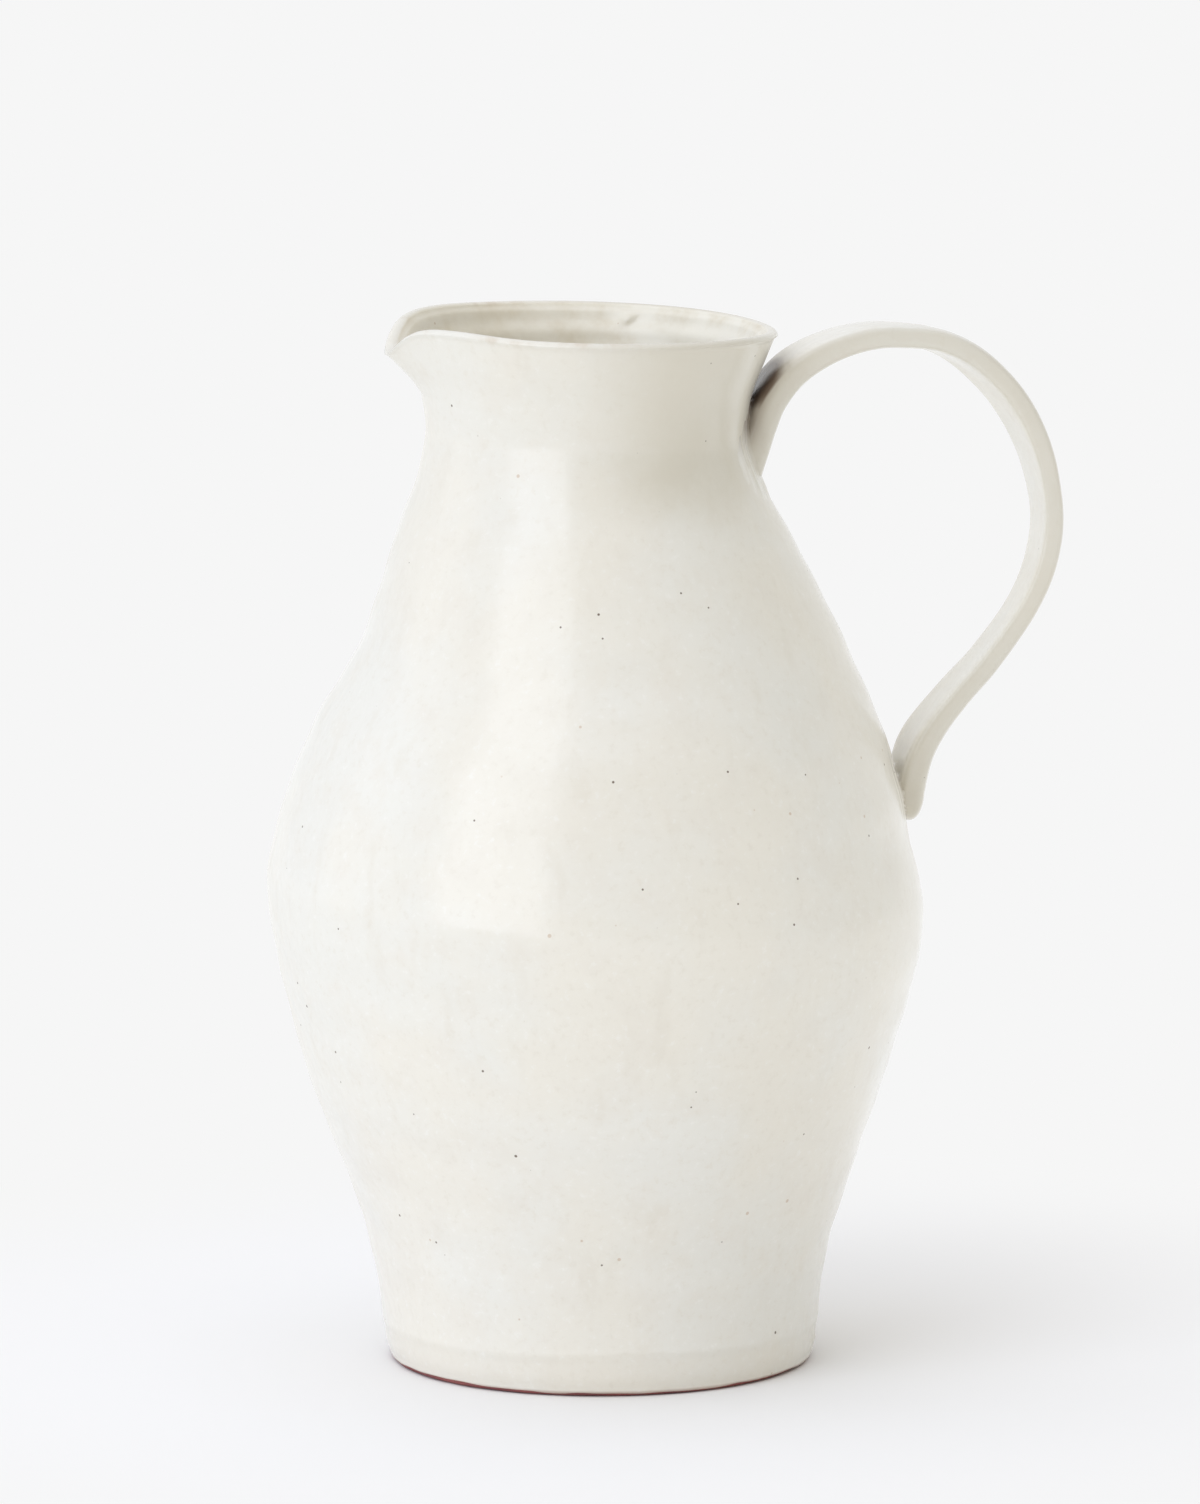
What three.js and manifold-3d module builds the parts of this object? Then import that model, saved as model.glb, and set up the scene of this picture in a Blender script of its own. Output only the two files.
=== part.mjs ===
// A hand-thrown ceramic pitcher: a hollow vessel with a pulled spout, a strap
// handle, the clay that sticks the handle on at both ends, and a bare clay foot.
// Millimetres, +Z up. The origin is the middle of the face that the foot rests on,
// +X points to the handle and -X to the spout.

import * as THREE from 'three';
import { mergeVertices } from 'three/addons/utils/BufferGeometryUtils.js';
import Module from 'manifold-3d';

const wasm = await Module();
wasm.setup();

// Driving dimensions -------------------------------------------------------

const GAP = 0.3;                 // left between pieces that touch

const FOOT = { radius: 53.2, height: 2.0, edge: 0.8 };

// The outside of the vessel, ring by ring as it was thrown. lean is how far the
// middle of the ring has moved along +X.
const RINGS = [
  { height: 2.3, radius: 53.8, lean: 0.3 },
  { height: 9, radius: 54.3, lean: 0.1 },
  { height: 20, radius: 55.4, lean: -0.1 },
  { height: 32, radius: 57.9, lean: -0.3 },
  { height: 45, radius: 61.9, lean: -0.5 },
  { height: 60, radius: 67.5, lean: -1.3 },
  { height: 75, radius: 72.7, lean: -1.6 },
  { height: 90, radius: 76.9, lean: -1.5 },
  { height: 106, radius: 80.7, lean: -1.2 },
  { height: 116, radius: 81.7, lean: -1.2 },
  { height: 125, radius: 80.9, lean: -1.2 },
  { height: 134, radius: 78.4, lean: -1.4 },
  { height: 146, radius: 75.2, lean: -0.6 },
  { height: 158, radius: 70.9, lean: 0.2 },
  { height: 168, radius: 66.1, lean: 1.2 },
  { height: 178, radius: 61.1, lean: 1.6 },
  { height: 190, radius: 56.2, lean: 0.9 },
  { height: 205, radius: 49.9, lean: -0.7 },
  { height: 217, radius: 44.3, lean: -1.8 },
  { height: 226, radius: 40.9, lean: -2.7 },
  { height: 234, radius: 39.5, lean: -3.3 },
  { height: 245, radius: 41.5, lean: -3.4 },
  { height: 253, radius: 44.4, lean: -3.4 },
  { height: 260, radius: 47.2, lean: -3.4 },
];
const RIM_HEIGHT = RINGS.at(-1).height;

const WALLS = [                  // wall thickness, thin at the rim
  { height: 20, wall: 6.0 },
  { height: 60, wall: 5.2 },
  { height: 200, wall: 4.6 },
  { height: 245, wall: 4.0 },
  { height: 260, wall: 3.4 },
];
const FLOOR_TOP = 9;             // inside floor of the vessel
const FLOOR_EDGE = 22;           // height where the inside corner ends
const BASE_EDGE = 1.2;           // bevel round the underside
const LIP_ROUND = 1.4;           // the rim is rounded over this height

// Each ring also tilts a little towards the handle, most at the belly.
const TILT = { belly: 0.047, rim: 0.028, bellyHeight: 116, rimSideways: 0.006 };

const SPOUT = {
  start: 242,                    // height where the pulled lip begins
  aside: 2,                      // degrees away from straight opposite the handle
  dip: 8.2, dipAngle: 14,        // how far the tip drops, and half its angle
  dipGrowth: 1.2,                // the drop grows with this power of the height
  pull: 2.9, pullAngle: 18,      // how far the tip comes out
  pullGrowth: 0.6,
  pinch: 1.2, shoulder: 0.5,     // fingers press in and push up beside it
  sideAngle: 41, sideSpread: 18,
};
const RIM_DROP_AT_HANDLE = { depth: 0.6, angle: 30 };

// The middle line of the strap, in the plane through the vessel's axis.
const HANDLE_PATH = [
  [35.2, 223.4], [37.2, 229.4], [39.2, 234.8], [42.2, 241.0], [47.4, 247.2],
  [55.0, 251.8], [63.2, 254.6], [72.4, 255.4], [84.6, 253.7], [96.2, 246.4],
  [106.8, 232.4], [112.4, 214.0], [111.6, 199.0], [106.0, 185.8], [97.0, 173.4],
  [89.6, 165.2], [84.2, 158.8], [80.4, 152.8], [78.3, 147.0], [77.4, 141.0],
  [76.9, 134.6],
];
const STRAP = [                  // section along the strap, 0 at the neck and 1 at the tail
  { along: 0.00, width: 26.0, thickness: 7.8, twist: 0 },
  { along: 0.10, width: 22.0, thickness: 7.4, twist: 0 },
  { along: 0.20, width: 20.5, thickness: 6.4, twist: 2 },
  { along: 0.32, width: 20.0, thickness: 5.8, twist: 6 },
  { along: 0.42, width: 19.5, thickness: 5.8, twist: 9 },
  { along: 0.53, width: 19.0, thickness: 5.4, twist: 5 },
  { along: 0.65, width: 17.5, thickness: 5.4, twist: 1 },
  { along: 0.78, width: 17.5, thickness: 5.6, twist: 0 },
  { along: 0.86, width: 20.5, thickness: 6.0, twist: 0 },
  { along: 0.93, width: 22.0, thickness: 6.8, twist: 0 },
  { along: 0.975, width: 17.0, thickness: 6.6, twist: 0 },
  { along: 1.00, width: 9.0, thickness: 4.0, twist: 0 },
];

const STRAP_ROUNDING = { across: 0.35, through: 0.55 };   // 1 is an ellipse, 0 a rectangle
const STRAP_SIDES = 18;
const STRAP_STEPS = 56;

const UPPER_LUTING = { place: [36.6, 0, 229.0], reach: [4.2, 16.5, 11.0], lean: -14 };
const LOWER_LUTING = { place: [73.4, 0, 144.5], reach: [4.2, 15.0, 11.0], lean: -14 };

const SEGMENTS = 64;             // around the vessel
const OUTSIDE_ROWS = 32;
const INSIDE_ROWS = 20;
const GLAZED = { color: 0xe6e3da, roughness: 0.28, metalness: 0 };
const BARE = { color: 0x7a4a3e, roughness: 0.85, metalness: 0 };

// Helpers ------------------------------------------------------------------

// A smooth curve through one value of each row of a table.
function curveThrough(rows, place, value) {
  const places = rows.map((row) => row[place]);
  const values = rows.map((row) => row[value]);
  const spline = new THREE.CubicInterpolant(places, values, 1);
  const first = places[0];
  const last = places.at(-1);
  return (at) => spline.evaluate(THREE.MathUtils.clamp(at, first, last))[0];
}

const bell = (distance, spread) => Math.exp(-((distance / spread) ** 2));

// A closed mesh with shared vertices, ready for manifold-3d.
function toSolid(geometry) {
  const bare = geometry.clone();
  bare.deleteAttribute('normal');
  bare.deleteAttribute('uv');
  const merged = mergeVertices(bare, 1e-3);
  const triangles = [];
  for (let i = 0; i < merged.index.count; i += 3) {
    const [a, b, c] = [0, 1, 2].map((corner) => merged.index.getX(i + corner));
    if (a !== b && b !== c && c !== a) triangles.push(a, b, c);
  }
  return new wasm.Manifold(new wasm.Mesh({
    numProp: 3,
    vertProperties: new Float32Array(merged.attributes.position.array),
    triVerts: new Uint32Array(triangles),
  }));
}

function fromSolid(solid) {
  const mesh = solid.getMesh();
  const geometry = new THREE.BufferGeometry();
  const positions = new THREE.Float32BufferAttribute(mesh.vertProperties, 3);
  geometry.setAttribute('position', positions);
  geometry.setIndex(new THREE.BufferAttribute(mesh.triVerts, 1));
  geometry.computeVertexNormals();
  return geometry;
}

// Moves every vertex of a geometry by a function that gives its new place.
function reshape(geometry, place) {
  const positions = geometry.attributes.position;
  const point = new THREE.Vector3();
  for (let i = 0; i < positions.count; i += 1) {
    point.fromBufferAttribute(positions, i);
    positions.setXYZ(i, ...place(point));
  }
  geometry.computeVertexNormals();
  return geometry;
}

// A lathe about Z from a profile of [radius, height] points.
function turn(profile) {
  const points = profile.map(([radius, height]) => new THREE.Vector2(radius, height));
  return new THREE.LatheGeometry(points, SEGMENTS).rotateX(Math.PI / 2);
}

function named(name, geometry, look) {
  const mesh = new THREE.Mesh(geometry, new THREE.MeshStandardMaterial(look));
  mesh.name = name;
  return mesh;
}

// Vessel -------------------------------------------------------------------

const outerRadius = curveThrough(RINGS, 'height', 'radius');
const ringLean = curveThrough(RINGS, 'height', 'lean');
const wallAt = curveThrough(WALLS, 'height', 'wall');

function ringTilt(height) {
  const { belly, rim, bellyHeight } = TILT;
  if (height < bellyHeight) {
    return belly * THREE.MathUtils.smoothstep(height, 0, bellyHeight);
  }
  const upper = (height - bellyHeight) / (RIM_HEIGHT - bellyHeight);
  return THREE.MathUtils.lerp(belly, rim, upper);
}

// Leans, tilts and pulls a point of the round thrown form into its final place.
function formed({ x, y, z }) {
  const radius = Math.hypot(x, y);
  const angle = Math.atan2(y, x);
  const fromHandle = Math.abs(THREE.MathUtils.radToDeg(angle));
  const turned = THREE.MathUtils.radToDeg(angle) + SPOUT.aside;
  const fromSpout = 180 - Math.abs(THREE.MathUtils.euclideanModulo(turned + 180, 360) - 180);
  const nearRim = THREE.MathUtils.clamp((z - SPOUT.start) / (RIM_HEIGHT - SPOUT.start), 0, 1);
  const side = bell(fromSpout - SPOUT.sideAngle, SPOUT.sideSpread);
  const pulled = radius
    + SPOUT.pull * bell(fromSpout, SPOUT.pullAngle) * nearRim ** SPOUT.pullGrowth
    - SPOUT.pinch * side * nearRim;
  const rise = SPOUT.shoulder * side * nearRim
    - SPOUT.dip * bell(fromSpout, SPOUT.dipAngle) * nearRim ** SPOUT.dipGrowth
    - RIM_DROP_AT_HANDLE.depth * bell(fromHandle, RIM_DROP_AT_HANDLE.angle) * nearRim;
  const across = pulled * Math.cos(angle);
  const depth = pulled * Math.sin(angle);
  const tilted = z - ringTilt(z) * across - TILT.rimSideways * nearRim * depth;
  return [across + ringLean(z), depth, tilted + rise];
}

// Evenly spaced heights from low to high.
function heightsBetween(low, high, count) {
  const step = (high - low) / count;
  return Array.from({ length: count + 1 }, (_, i) => low + i * step);
}

function outsideOutline(grow) {
  const base = RINGS[0].height;
  return [
    [0, base - grow],
    [outerRadius(base) - BASE_EDGE, base - grow],
    ...heightsBetween(base + BASE_EDGE, RIM_HEIGHT - LIP_ROUND, OUTSIDE_ROWS)
      .map((height) => [outerRadius(height) + grow, height]),
  ];
}

function makeVessel() {
  const rimWall = wallAt(RIM_HEIGHT);
  const rimMiddle = outerRadius(RIM_HEIGHT) - rimWall / 2;
  const lip = [35, 90, 145].map((degrees) => {
    const turnAt = THREE.MathUtils.degToRad(degrees);
    return [rimMiddle + (rimWall / 2) * Math.cos(turnAt),
      RIM_HEIGHT - LIP_ROUND + LIP_ROUND * Math.sin(turnAt)];
  });
  const inside = heightsBetween(FLOOR_EDGE, RIM_HEIGHT - LIP_ROUND, INSIDE_ROWS).reverse()
    .map((height) => [outerRadius(height) - wallAt(height), height]);
  const cornerRadius = FLOOR_EDGE - FLOOR_TOP;
  const cornerMiddle = outerRadius(FLOOR_EDGE) - wallAt(FLOOR_EDGE) - cornerRadius;
  const corner = [25, 50, 75, 90].map((degrees) => {
    const turnAt = THREE.MathUtils.degToRad(degrees);
    return [cornerMiddle + cornerRadius * Math.cos(turnAt),
      FLOOR_EDGE - cornerRadius * Math.sin(turnAt)];
  });
  return reshape(turn([...outsideOutline(0), ...lip, ...inside, ...corner, [0, FLOOR_TOP]]), formed);
}

// The vessel without its hollow, grown by the gap, to cut what is stuck on it.
function vesselBlank() {
  const outline = [...outsideOutline(GAP), [0, RIM_HEIGHT - LIP_ROUND]];
  return toSolid(reshape(turn(outline), formed));
}

// Handle -------------------------------------------------------------------

const strapWidth = curveThrough(STRAP, 'along', 'width');
const strapThickness = curveThrough(STRAP, 'along', 'thickness');
const strapTwist = curveThrough(STRAP, 'along', 'twist');

// A flat rounded section, one unit across each way.
function strapSection() {
  const corners = Array.from({ length: STRAP_SIDES }, (_, i) => {
    const turnAt = (2 * Math.PI * i) / STRAP_SIDES;
    const [cos, sin] = [Math.cos(turnAt), Math.sin(turnAt)];
    const across = Math.sign(cos) * Math.abs(cos) ** STRAP_ROUNDING.across;
    const through = Math.sign(sin) * Math.abs(sin) ** STRAP_ROUNDING.through;
    return new THREE.Vector2(across / 2, through / 2);
  });
  return new THREE.Shape(corners);
}

function makeStrap(grow) {
  const path = new THREE.CatmullRomCurve3(
    HANDLE_PATH.map(([x, z]) => new THREE.Vector3(x, 0, z)), false, 'centripetal');
  path.arcLengthDivisions = 800;
  const straight = new THREE.ExtrudeGeometry(strapSection(),
    { depth: 1, steps: STRAP_STEPS, bevelEnabled: false });
  return reshape(straight, ({ x, y, z }) => {
    const along = THREE.MathUtils.clamp(z, 0, 1);
    const middle = path.getPointAt(along);
    const forward = path.getTangentAt(along);
    const wide = x * (strapWidth(along) + 2 * grow);
    const thick = y * (strapThickness(along) + 2 * grow);
    const twist = THREE.MathUtils.degToRad(strapTwist(along));
    const across = wide * Math.cos(twist) + thick * Math.sin(twist);
    const through = thick * Math.cos(twist) - wide * Math.sin(twist);
    return [middle.x - forward.z * through, across, middle.z + forward.x * through];
  });
}

// A low lump of clay pressed round one end of the handle.
function makeLump({ place, reach, lean }) {
  return new THREE.SphereGeometry(1, 24, 14)
    .scale(...reach)
    .rotateY(THREE.MathUtils.degToRad(lean))
    .translate(...place);
}

// Assembly -----------------------------------------------------------------

const blank = vesselBlank();
const handle = toSolid(makeStrap(0)).subtract(blank);
const grownHandle = toSolid(makeStrap(GAP));

// What is left of a lump outside the vessel and the handle, without loose crumbs.
function makeLuting(lump) {
  const left = toSolid(makeLump(lump)).subtract(blank).subtract(grownHandle);
  const bodies = left.decompose().sort((one, other) => other.volume() - one.volume());
  return fromSolid(bodies[0]);
}

function makeFoot() {
  const { radius, height, edge } = FOOT;
  return turn([[0, 0], [radius - edge, 0], [radius, edge], [radius, height], [0, height]]);
}

const pitcher = new THREE.Group();
pitcher.add(named('vessel', makeVessel(), GLAZED));
pitcher.add(named('strap_handle', fromSolid(handle), GLAZED));
pitcher.add(named('upper_luting', makeLuting(UPPER_LUTING), GLAZED));
pitcher.add(named('lower_luting', makeLuting(LOWER_LUTING), GLAZED));
pitcher.add(named('bare_foot', makeFoot(), BARE));

export default pitcher;
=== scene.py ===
# Looks of a hand-thrown ceramic pitcher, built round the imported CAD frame.
# Shapes are worked out in millimetres and turned into metres when a mesh is made.
# Materials, lights and the camera are in metres. The handle is towards +X.
import math

import bpy
import numpy as np
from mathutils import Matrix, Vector
from mathutils.bvhtree import BVHTree


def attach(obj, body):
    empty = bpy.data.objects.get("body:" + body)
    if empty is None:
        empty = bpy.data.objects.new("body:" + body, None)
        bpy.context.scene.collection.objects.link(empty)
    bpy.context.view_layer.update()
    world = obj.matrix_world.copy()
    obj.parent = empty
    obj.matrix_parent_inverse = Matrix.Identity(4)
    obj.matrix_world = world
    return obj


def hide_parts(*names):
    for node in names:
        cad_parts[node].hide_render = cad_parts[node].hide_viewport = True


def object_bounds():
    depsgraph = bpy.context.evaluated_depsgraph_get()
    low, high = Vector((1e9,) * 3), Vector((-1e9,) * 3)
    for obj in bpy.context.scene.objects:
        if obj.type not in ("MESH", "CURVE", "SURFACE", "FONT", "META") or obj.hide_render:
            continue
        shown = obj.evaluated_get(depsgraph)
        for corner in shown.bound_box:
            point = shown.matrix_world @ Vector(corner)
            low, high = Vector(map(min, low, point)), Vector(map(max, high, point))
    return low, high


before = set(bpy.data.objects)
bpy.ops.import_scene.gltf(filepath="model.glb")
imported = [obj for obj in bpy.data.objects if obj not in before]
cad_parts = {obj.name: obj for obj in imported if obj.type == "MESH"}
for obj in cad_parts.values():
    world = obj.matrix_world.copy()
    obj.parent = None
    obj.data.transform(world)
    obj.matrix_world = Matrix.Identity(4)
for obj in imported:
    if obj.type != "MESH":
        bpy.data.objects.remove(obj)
cad_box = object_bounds()

MM = 0.001
scene = bpy.context.scene
scene.view_settings.view_transform = "Standard"

# ---------------------------------------------------------------------------
# Sizes of the thrown form, in millimetres: the same rings as the CAD model.

RING_HEIGHTS = [2.3, 9, 20, 32, 45, 60, 75, 90, 106, 116, 125, 134,
                146, 158, 168, 178, 190, 205, 217, 226, 234, 245, 253, 260]
RING_RADII = [53.8, 54.3, 55.4, 57.9, 61.9, 67.5, 72.7, 76.9, 80.7, 81.7, 80.9, 78.4,
              75.2, 70.9, 66.1, 61.1, 56.2, 49.9, 44.3, 40.9, 39.5, 41.5, 44.4, 47.2]
RING_LEANS = [0.3, 0.1, -0.1, -0.3, -0.5, -1.3, -1.6, -1.5, -1.2, -1.2, -1.2, -1.4,
              -0.6, 0.2, 1.2, 1.6, 0.9, -0.7, -1.8, -2.7, -3.3, -3.4, -3.4, -3.4]
RIM_HEIGHT = 260.0
NARROWEST = 20            # the ring at the waist of the neck

# wall thickness at some heights
WALL_HEIGHTS = [20, 60, 200, 245, 260]
WALLS = [6.0, 5.2, 4.6, 4.0, 3.4]
FLOOR_TOP = 9.0           # inside floor of the vessel
FLOOR_EDGE = 22.0         # where its rounded corner meets the wall
FLOOR_SWIRL = 0.25        # spiral left by the fingers on the inside floor

# rings that aren't level: rise per millimetre towards the lip
BELLY_TILT = 0.047
BELLY_HEIGHT = 116.0
RIM_TILT = 0.028
RIM_SIDE_TILT = 0.006     # rise of the rim per millimetre towards -Y

# slow waves round the wall: size, waves round, height over which they turn, phase
HAND_WAVES = ((0.22, 2, 31, 0.6), (0.13, 3, -23, 2.1), (0.09, 5, 17, 4.0), (0.06, 4, -9, 1.3))

# the pulled lip: where it starts, then sizes and the degrees over which each one fades
LIP_START = 242.0
LIP_ASIDE = 2.0           # degrees off the line of the handle
LIP_DIP, LIP_DIP_ANGLE = 8.2, 14.0
LIP_PULL, LIP_PULL_ANGLE = 2.9, 18.0
LIP_PINCH, LIP_SHOULDER = 1.2, 0.5
LIP_SIDE_ANGLE, LIP_SIDE_SPREAD = 41.0, 18.0
HANDLE_SIDE_DROP, HANDLE_SIDE_ANGLE = 0.6, 30.0

GLAZE_FOOT = 0.42         # the glaze stops this far above the floor
BASE_ROUNDING = 1.7       # the glaze rolls under by this much
BASE_ROUND_TOP = 6.0
BAND_STEP = 0.28          # the band at the foot is this much narrower
BAND_BEAD = 0.16          # roll of thick glaze above it
BAND_TOP = 9.5            # top of the thin-glazed band at the foot

# the strap's middle line, in the plane of the handle
STRAP_PATH = [
    (35.2, 223.4), (37.2, 229.4), (39.2, 234.8), (42.2, 241.0), (47.4, 247.2),
    (55.0, 251.8), (63.2, 254.6), (72.4, 255.4), (84.6, 253.7), (96.2, 246.4),
    (106.8, 232.4), (112.4, 214.0), (111.6, 199.0), (106.0, 185.8), (97.0, 173.4),
    (89.6, 165.2), (84.2, 158.8), (80.4, 152.8), (78.3, 147.0), (77.4, 141.0),
    (76.9, 134.6)]
# its width, thickness and twist in degrees at parts of its length
STRAP_ALONG = [0.0, 0.10, 0.20, 0.32, 0.42, 0.53, 0.65, 0.78, 0.86, 0.93, 0.975, 1.0]
STRAP_WIDTHS = [26, 22, 20.5, 20, 19.5, 19, 17.5, 17.5, 20.5, 22, 17, 9]
STRAP_THICKS = [7.8, 7.4, 6.4, 5.8, 5.8, 5.4, 5.4, 5.6, 6.0, 6.8, 6.6, 4.0]
STRAP_TWISTS = [0, 0, 2, 6, 9, 5, 1, 0, 0, 0, 0, 0]
STRAP_ROUND_ACROSS = 0.35       # 1 is an ellipse, 0 a rectangle
STRAP_ROUND_THROUGH = 0.55
STRAP_INNER_ACROSS = 0.24       # the edges towards the fingers are crisper
STRAP_INNER_THROUGH = 0.32
# finger grooves along the outer face: depth, place and spread as parts of the width
STRAP_GROOVES = ((0.30, 0.18, 0.10), (0.22, -0.20, 0.12))
TAIL_START = 0.968              # the rounded tail begins here along the strap
TAIL_LENGTH = 8.0
TAIL_LEAN = -0.06               # the tail pushes towards the wall as it goes down
STRAP_RINGS = 300
STRAP_STEPS = 240               # rings used to tell inside from outside
STRAP_END = 1.5                 # points further beyond an end than this are outside
BATCH = 20000                   # points tested at a time
STRAP_SIDES = 80
MIDDLE_ENTRY = 5                # the tables' entry that spaces a section's points

VESSEL_SIDES = 288
RING_OUTSIDE = ((0.10, 2.1, 0.0), (0.08, 3.7, 1.0))    # size, length over 2 pi, phase
RIM_ROUNDING = 1.5

FOOT_RADIUS = 52.3
FOOT_SIDES = 240
FOOT_HOLLOW = 0.35              # the middle of the underside is this far off the floor
FOOT_ARC = 0.16                 # depth of the arcs that the cutting wire left
FOOT_ARC_LENGTH = 1.15
FOOT_ARC_CENTRE = (70, -20)

# place, direction of its length, length, width, and push of its middle
DRIP_IN_RIM = ((13.1, 38.6, 255.9), (0.6, -0.2, 0.5), 2.3, 1.2, (-0.35, -1.1, -0.1))
NUB_ON_FOOT = ((50.4, -18.5, 6.5), (0.0, 0.3, 1.0), 1.8, 1.5, (0.75, -0.3, 0.0))

# each clay joint: box to work in, centre and reach of the clay, fillet, finger strokes
UPPER_JOINT = {"low": (26, -28, 208), "high": (50, 28, 243), "centre": (35.5, 0, 226.0),
               "reach": (12.0, 26.0, 15.5), "blend": 1.5, "smear": 0.55}
LOWER_JOINT = {"low": (60, -27, 122), "high": (90, 27, 168), "centre": (74.0, 0, 144.0),
               "reach": (14.0, 25.0, 20.0), "blend": 2.4, "smear": 0.45}
JOINT_STEP = 0.6                # grid on which the joints are worked out
JOINT_LIFT = 0.07               # so much thinner than the exact union
JOINT_DEPTH = 1.6               # how far a joint reaches into the wall
JOINT_MARGIN = 1.15             # distances are needed this far beyond the clay's reach
FAR = 9.0
NECK_AXIS = -3.3                # X of the neck's middle
WALL_BY_STRAP = (115, 252, 20)  # heights and least X of the wall that joints touch

# ---------------------------------------------------------------------------
# Colours of the glaze and clay, and of painted light and shade, as linear red, green and blue

GLAZE_WARM = (0.828, 0.795, 0.712)
GLAZE_COOL = (0.820, 0.806, 0.748)
GLAZE_THIN = (0.795, 0.758, 0.680)
GLAZE_DARK = (0.745, 0.702, 0.612)
GLAZE_PALE = (0.880, 0.868, 0.820)
GLAZE_FOOT_TONE = (0.690, 0.630, 0.530)
CLAY_THROUGH_GLAZE = (0.480, 0.330, 0.260)
# painted shade at the neck's waist, under the collar and towards the neck
GLAZE_PAINTED_SHADE = (0.640, 0.600, 0.500)
# painted shade on the strap's narrow sides
STRAP_PAINTED_SHADE = (0.600, 0.560, 0.460)
# painted light and painted shade of the inside
INSIDE_PAINTED_LIGHT = (0.940, 0.912, 0.812)
INSIDE_PAINTED_SHADE = (0.740, 0.665, 0.515)
RIM_TONE = (0.620, 0.520, 0.400)
# painted shade in the wedge between collar and strap, and in the crease beside it
WEDGE_PAINTED_SHADE = (0.160, 0.105, 0.070)
RUST = (0.480, 0.300, 0.160)
IRON = (0.100, 0.060, 0.035)
CLAY_RED = (0.300, 0.095, 0.085)
CLAY_DARK = (0.180, 0.058, 0.060)
CLAY_GROG = (0.330, 0.190, 0.140)

# Where the tones and painted shades lie, in metres. Four numbers: starts, full, still full, gone.
# painted shade at the neck's waist and under the collar
NECK_SHADE_HEIGHTS = (0.212, 0.229, 0.232, 0.248)
NECK_SHADE_ACROSS = (-0.008, 0.012, 0.026, 0.038)
COLLAR_SHADE_HEIGHTS = (0.206, 0.236)
COLLAR_SHADE_ACROSS = (-0.018, 0.016)
COLLAR_SHADE_BY_HANDLE = (0.046, 0.028)
UPWARD_SHADE_HEIGHTS = (0.060, 0.235)      # painted shade: the glaze is darkened towards the neck
INSIDE_SHADE_ACROSS = (0.024, -0.026)      # painted shade: the inside is darker towards the lip
RIM_HEIGHTS = (0.2585, 0.2605)
# painted shade in the wedge between collar and strap
WEDGE_SHADE_PLACE = (0.0410, -0.0010, 0.2422)
WEDGE_SHADE_REACH = (0.0078, 0.0150, 0.0125)
WEDGE_SHADE_WALL_WAY = (0.94, 0, -0.34)    # the faces of the wall and strap that shut the wedge
WEDGE_SHADE_STRAP_WAY = (-0.80, 0, 0.60)
# painted shade on the strap near the collar
CREASE_SHADE_HEIGHTS = (0.226, 0.237, 0.247, 0.256)
CREASE_SHADE_REACH = (0.0065, 0.0005)
SPECK_CELL, SPECK_RADIUS = 7.6, 0.30             # millimetres
RUST_CELL, RUST_RADIUS, RUST_SHIFT = 10.5, 0.42, 3.1

# ---------------------------------------------------------------------------
# Floor, room, lights and camera

BACKGROUND = 0.922
FLOOR_TONE = (0.915, 0.905, 0.895)
FLOOR_RADIUS = 14.0
FLOOR_DROP = 0.0002         # keeps the floor clear of the foot
FLOOR_FADE = (0.085, 0.27)  # the lit floor turns into the plain background
# glow of the far floor and the walls on four sides, as seen from the camera's side
FLOOR_FRONT = (0.94, 0.94, 0.94)
FLOOR_LEFT = (0.94, 0.94, 0.94)
FLOOR_BEHIND = (0.98, 0.99, 1.00)
FLOOR_RIGHT = (1.24, 1.26, 1.30)
ROOM_FRONT = (0.34, 0.27, 0.14)
ROOM_LEFT = (0.64, 0.67, 0.74)
ROOM_BEHIND = (0.90, 0.90, 0.89)
ROOM_RIGHT_LOW = (0.86, 0.89, 0.91)
ROOM_RIGHT_HIGH = (0.40, 0.40, 0.35)
ROOM_TOP = (1.11, 1.13, 1.20)
ROOM_RIGHT_RISE = (0.12, 0.45)   # how far up each tone turns into the next one
ROOM_TOP_RISE = (0.5, 0.9)
# each softbox: degrees left of the camera, width, bottom, top, distance, radiance
SOFTBOX_FRONT = (36.5, 1.75, 0.0, 3.3, 2.2, (1.75, 1.90, 2.20))
SOFTBOX_SIDE = (97.0, 1.15, 0.0, 2.2, 2.2, (0.35, 0.35, 0.35))

CAMERA_AZIMUTH = -9.0
CAMERA_ELEVATION = 9.125
CAMERA_DISTANCE = 3.18
CAMERA_LENS = 306.4
SENSOR_WIDTH = 36
AIM_PART = 0.5823           # it aims at this part of the pitcher's height


# ---------------------------------------------------------------------------
# Small helpers

def smooth_through(places, values, at):
    """A smooth curve through the given values, read at one place or an array of places."""
    places = np.asarray(places, float)
    values = np.asarray(values, float)
    at = np.clip(np.asarray(at, float), places[0], places[-1])
    slopes = np.empty_like(values)
    slopes[1:-1] = (values[2:] - values[:-2]) / (places[2:] - places[:-2])
    first = (values[1] - values[0]) / (places[1] - places[0])
    last = (values[-1] - values[-2]) / (places[-1] - places[-2])
    slopes[0] = 1.5 * first - 0.5 * slopes[1]
    slopes[-1] = 1.5 * last - 0.5 * slopes[-2]
    i = np.clip(np.searchsorted(places, at, side="right") - 1, 0, len(places) - 2)
    span = places[i + 1] - places[i]
    t = (at - places[i]) / span
    return ((2 * t**3 - 3 * t**2 + 1) * values[i] + (t**3 - 2 * t**2 + t) * span * slopes[i]
            + (3 * t**2 - 2 * t**3) * values[i + 1] + (t**3 - t**2) * span * slopes[i + 1])


def smoothstep(low, high, at):
    t = np.clip((np.asarray(at, float) - low) / (high - low), 0, 1)
    return t * t * (3 - 2 * t)


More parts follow.
